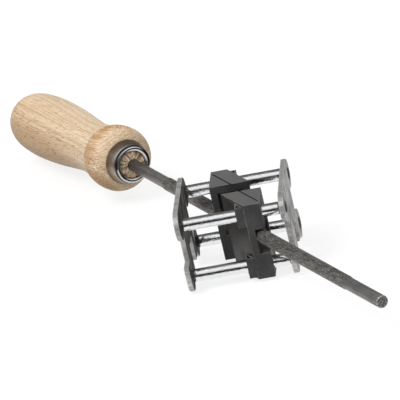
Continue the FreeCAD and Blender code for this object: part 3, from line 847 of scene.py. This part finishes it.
def makeFerruleSteel():
    material, tree, shader, place = newMaterial("ferruleSteel")
    spot = useGroup(tree, fileAxisGroup, Place=place)
    grime = useGroup(tree, grimeGroup, Place=place, Cloud=300.0, Speck=2800.0)
    spun = noise(tree, stretch(tree, spot["Local"], (3200, 260, 260)), 1.0, 3.0)
    # brown towards the wood: a painted reflection of the wood in the steel, over cloudy dirt
    edge = remap(tree, spot["Out"], 7.0 * mm, 8.1 * mm)
    clouds = times(tree, grime["Clouds"], 0.4)
    dirtAndWoodReflection = plus(tree, clouds, times(tree, edge, 0.75))
    color = blend(tree, dirtAndWoodReflection, ferrule["satin"], ferrule["stain"])
    rough = remap(tree, spun, 0.3, 0.7, *ferrule["roughness"])
    dress(tree, shader, color, rough, bump(tree, spun, ferrule["spinDepth"], 0.5), metallic=1.0)
    return material


def makeRimSteel():
    # the rolled rim is polished, with a few dull spots; where it meets the cone its outer flank is painted
    # black, a painted dark reflection and shade
    material, tree, shader, place = newMaterial("rimSteel")
    grime = useGroup(tree, grimeGroup, Place=place, Cloud=420.0, Speck=3000.0)
    clouds = times(tree, grime["Clouds"], 0.25)
    dull = plus(tree, clouds, times(tree, grime["Specks"], 0.3))
    color = blend(tree, dull, ferrule["bright"], ferrule["stain"])
    spot = useGroup(tree, fileAxisGroup, Place=place)
    # painted dark reflection and shade on the rim's outer flank
    creaseShadeAndReflection = remap(tree, spot["Out"], 6.6 * mm, 6.85 * mm)
    color = blend(tree, creaseShadeAndReflection, color, ferrule["creaseShadeAndReflection"])
    rough = remap(tree, grime["Clouds"], 0.0, 1.0, *ferrule["rimRoughness"])
    waves = noise(tree, place, 700.0, 3.0)
    dress(tree, shader, color, rough, bump(tree, waves, ferrule["rimDepth"], 0.5), metallic=1.0)
    return material


def makeFerrule():
    bm = bmesh.new()
    wall, centre, bead, count, steps = (
        ferrule[k] for k in ("wall", "rimCentre", "bead", "rimSteps", "turnSteps"))
    rim = []
    for step in range(count + 1):
        turn = math.radians(ferrule["rimStart"] + ferrule["rimSweep"] * step / count)
        rim.append((bead - bead * math.sin(turn), centre + bead * math.cos(turn)))
    first, last = ferrule["cone"][0], ferrule["cone"][-1]
    inside = [rim[-1], (last[0] + 0.1, last[1] - wall + 0.1), (first[0], first[1] - wall + 0.04)]
    lathe(bm, [(handleFront - a, r) for a, r in inside + ferrule["cone"] + rim[:1]], handleAxis, steps)
    lathe(bm, [(handleFront - a, r) for a, r in rim], handleAxis, steps, materialIndex=1)
    bmesh.ops.remove_doubles(bm, verts=bm.verts, dist=0.001 * mm)
    metals = [makeFerruleSteel(), makeRimSteel()]
    finishPiece("steelFerrule", bm, "file_and_handle", metals, "ferrule", smoothAngle=60)


makeFerrule()
print("ferrule made")


# Floor, light and camera

studio = {"floorHeight": -15.0, "floorHalf": 6, "floorTone": 0.50, "floorShare": 0.18, "worldLight": 0.50,
          # the floor's half width is in metres, and so are the lamps' places and sizes: name, place, power
          "lamps": (("key", (-0.7, -0.5, 1.3), 20.0), ("fill", (0.9, -1.1, 0.6), 2.5),
                    ("rear", (0.2, 1.2, 1.0), 7.0)),
          "lampAim": (0, 0.03, 0), "lampSize": 0.9,
          # what mirrors see, by the angle from the front horizon over the top to the back: degrees and level
          "mirror": ((-180, 0.90), (-22, 0.95), (-13, 0.04), (20, 0.04), (43, 0.92), (84, 1.0), (98, 0.16),
                     (178, 0.11)),
          "cardTone": 0.015, "cardSide": (0.42, 0.52), "cardDrop": 0.2, "cardHalf": (0.28, 0.36)}


def mixShaders(tree, amount, first, second):
    made = addNode(tree, "ShaderNodeMixShader")
    for socket, source in zip(made.inputs, (amount, first, second)):
        feed(tree, socket, source)
    return made.outputs[0]


def makeFloor():
    material = bpy.data.materials.new("paleFloor")
    material.use_nodes = True
    tree = material.node_tree
    tree.nodes.clear()
    matt = addNode(tree, "ShaderNodeBsdfDiffuse")
    tone = studio["floorTone"]
    share = studio["floorShare"]
    matt.inputs["Color"].default_value = (tone, tone, tone, 1)
    path = addNode(tree, "ShaderNodeLightPath")
    direct = plus(tree, path.outputs["Is Camera Ray"], path.outputs["Is Glossy Ray"])
    seen = calc(tree, "ADD", direct, path.outputs["Is Transmission Ray"], clamp=True)
    dim = addNode(tree, "ShaderNodeBsdfDiffuse")
    dim.inputs["Color"].default_value = (share, share, share, 1)
    glow = addNode(tree, "ShaderNodeEmission")
    glow.inputs["Strength"].default_value = 1 - share
    both = addNode(tree, "ShaderNodeAddShader")
    tree.links.new(dim.outputs[0], both.inputs[0])
    tree.links.new(glow.outputs[0], both.inputs[1])
    choice = mixShaders(tree, seen, matt.outputs[0], both.outputs[0])
    tree.links.new(choice, addNode(tree, "ShaderNodeOutputMaterial").inputs["Surface"])
    mesh = bpy.data.meshes.new("studioFloor")
    z, half = studio["floorHeight"] * mm, studio["floorHalf"]
    mesh.from_pydata([(-half, -half, z), (half, -half, z), (half, half, z), (-half, half, z)], [],
                     [(0, 1, 2, 3)])
    mesh.materials.append(material)
    floor = bpy.data.objects.new("studioFloor", mesh)
    bpy.context.scene.collection.objects.link(floor)
    floor.visible_glossy = False


def makeWorld():
    world = bpy.data.worlds.new("softRoom")
    world.use_nodes = True
    tree = world.node_tree
    tree.nodes.clear()
    path = addNode(tree, "ShaderNodeLightPath")
    seen = calc(tree, "ADD", path.outputs["Is Camera Ray"], path.outputs["Is Transmission Ray"], clamp=True)
    # mirrors see dark cards in front and behind, a bright sheet overhead and the pale floor
    direction = split(tree, addNode(tree, "ShaderNodeTexCoord").outputs["Generated"])
    angle = calc(tree, "ARCTAN2", direction["Z"], times(tree, direction["Y"], -1.0))
    ramp = addNode(tree, "ShaderNodeValToRGB")
    feed(tree, ramp.inputs["Fac"], plus(tree, calc(tree, "DIVIDE", angle, 2 * math.pi), 0.5))
    while len(ramp.color_ramp.elements) < len(studio["mirror"]):
        ramp.color_ramp.elements.new(1.0)
    for stop, (degrees, shade) in zip(ramp.color_ramp.elements, studio["mirror"]):
        stop.position = (degrees + 180) / 360
        stop.color = (shade, shade, shade, 1)
    # a dark card low on the right gives the ferrule's rim its black line
    tone = studio["cardTone"]
    offLine = calc(tree, "ABSOLUTE", plus(tree, direction["Z"], studio["cardDrop"]))
    card = times(tree, remap(tree, direction["X"], *studio["cardSide"]),
                 remap(tree, offLine, *studio["cardHalf"], 1.0, 0.0))
    room = blend(tree, card, ramp.outputs["Color"], (tone, tone, tone, 1))
    level = studio["worldLight"]
    plain, mirror, white = (addNode(tree, "ShaderNodeBackground") for _ in range(3))
    for made, color in ((plain, (level, level, level, 1)), (mirror, room), (white, (1, 1, 1, 1))):
        feed(tree, made.inputs["Color"], color)
    lit = mixShaders(tree, path.outputs["Is Glossy Ray"], plain.outputs[0], mirror.outputs[0])
    whole = mixShaders(tree, seen, lit, white.outputs[0])
    tree.links.new(whole, addNode(tree, "ShaderNodeOutputWorld").inputs["Surface"])
    bpy.context.scene.world = world


def addLamp(name, place, power):
    data = bpy.data.lights.new(name, "AREA")
    data.shape = "DISK"
    data.size = studio["lampSize"]
    data.energy = power
    lamp = bpy.data.objects.new(name, data)
    bpy.context.scene.collection.objects.link(lamp)
    lamp.location = place
    lamp.visible_glossy = False
    lamp.rotation_mode = "QUATERNION"
    lamp.rotation_quaternion = (Vector(studio["lampAim"]) - Vector(place)).to_track_quat("-Z", "Y")


# degrees and metres; the focal length is in pixels of a picture that is pictureWidth pixels wide
view = {"azimuth": 7.81, "elevation": 21.57, "roll": 13.21, "distance": 1.5, "focal": 4341.87,
        "pictureWidth": 400, "sensor": 36, "left": 0.013045, "up": 0.008564, "aim": (-0.00015, 0, 0)}


def addCamera():
    # the angle and the lens that put the rollers, blocks and file where the photograph has them
    azimuth, elevation, roll = (math.radians(view[k]) for k in ("azimuth", "elevation", "roll"))
    level = math.cos(elevation)
    back = Vector((math.sin(azimuth) * level, -math.cos(azimuth) * level, math.sin(elevation)))
    right = Vector((math.cos(azimuth), math.sin(azimuth), 0))
    up = back.cross(right)
    across = math.cos(roll) * right - math.sin(roll) * up
    above = math.sin(roll) * right + math.cos(roll) * up
    eye = back * view["distance"] - across * view["left"] + above * view["up"] + Vector(view["aim"])
    data = bpy.data.cameras.new("camera")
    data.sensor_width = view["sensor"]
    data.lens = view["sensor"] * view["focal"] / view["pictureWidth"]
    camera = bpy.data.objects.new("camera", data)
    bpy.context.scene.collection.objects.link(camera)
    turn = Matrix((across, above, back)).transposed().to_4x4()
    camera.matrix_world = Matrix.Translation(eye) @ turn
    bpy.context.scene.camera = camera


makeFloor()
makeWorld()
for lamp in studio["lamps"]:
    addLamp(*lamp)
addCamera()
bpy.context.scene.view_settings.view_transform = "Standard"
print("studio ready")
